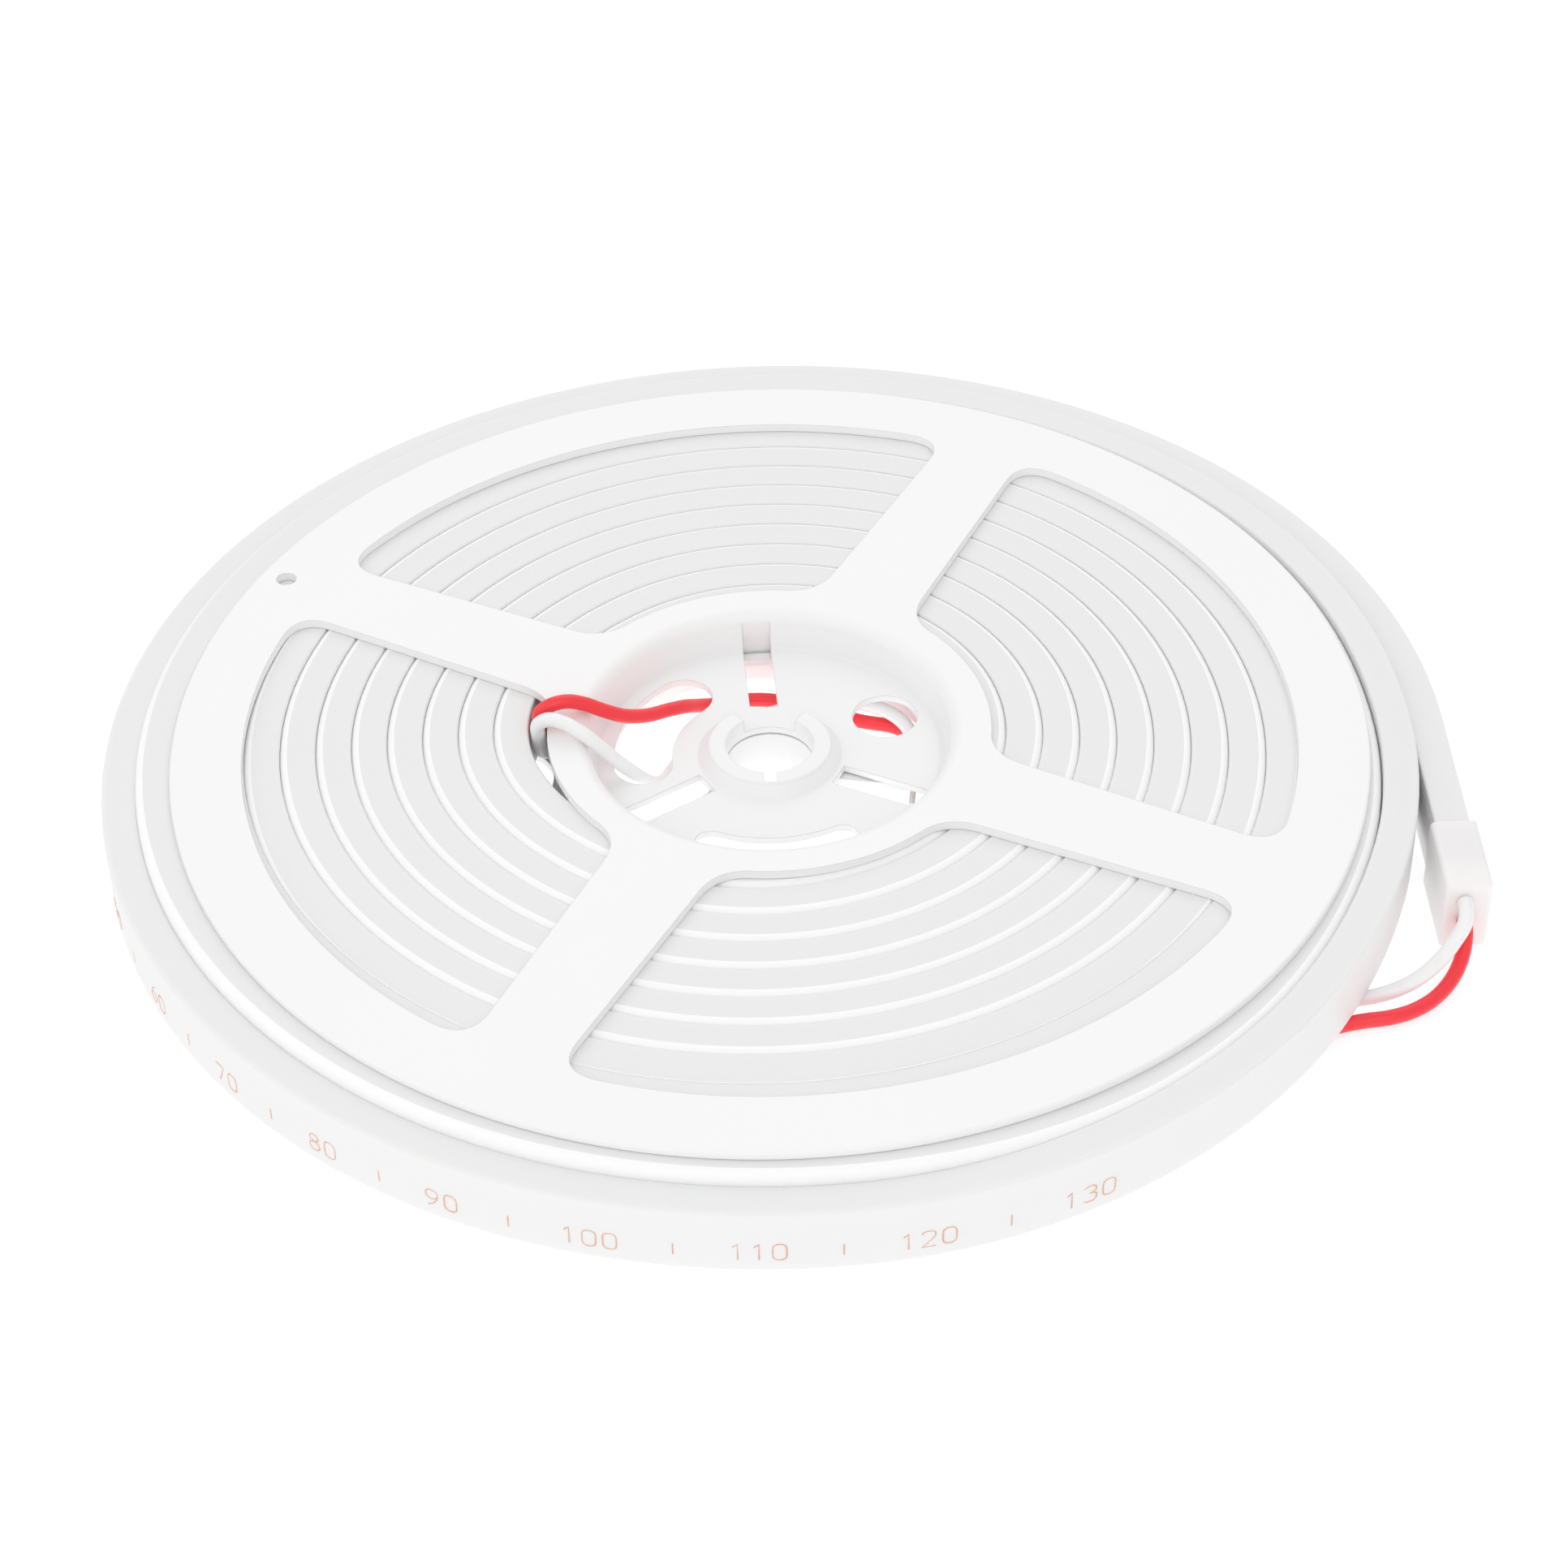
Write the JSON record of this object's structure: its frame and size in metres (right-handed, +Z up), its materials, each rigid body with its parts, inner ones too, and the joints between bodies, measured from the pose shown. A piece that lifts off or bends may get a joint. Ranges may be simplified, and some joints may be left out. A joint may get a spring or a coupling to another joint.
{
  "type": "led neon flex reel",
  "caption": "Flat plastic reel with open spoked flanges and a hub well, wound full with a rectangular silicone light strip that ends in an end cap with two leads.",
  "frame": {"origin": "middle of the reel and strip's box at the level it lies on", "axes": "+Z up along the reel's axis, -Y towards the viewer, +X towards the strip's outer end"},
  "size_m": [0.2022, 0.1976, 0.0177],
  "materials": {
    "reel_plastic": "satin white moulding",
    "strip_silicone": "smooth translucent white silicone",
    "cap_silicone": "milky translucent silicone",
    "lead_red": "satin red insulation",
    "lead_white": "satin white insulation"
  },
  "bodies": {
    "root": {"reel_top_half": "reel_plastic", "reel_bottom_half": "reel_plastic", "light_strip": "strip_silicone", "outer_end_cap": "cap_silicone", "inner_end_cap": "cap_silicone", "outer_lead_red": "lead_red", "outer_lead_white": "lead_white", "inner_lead_red": "lead_red", "inner_lead_white": "lead_white"}
  },
  "joints": []
}
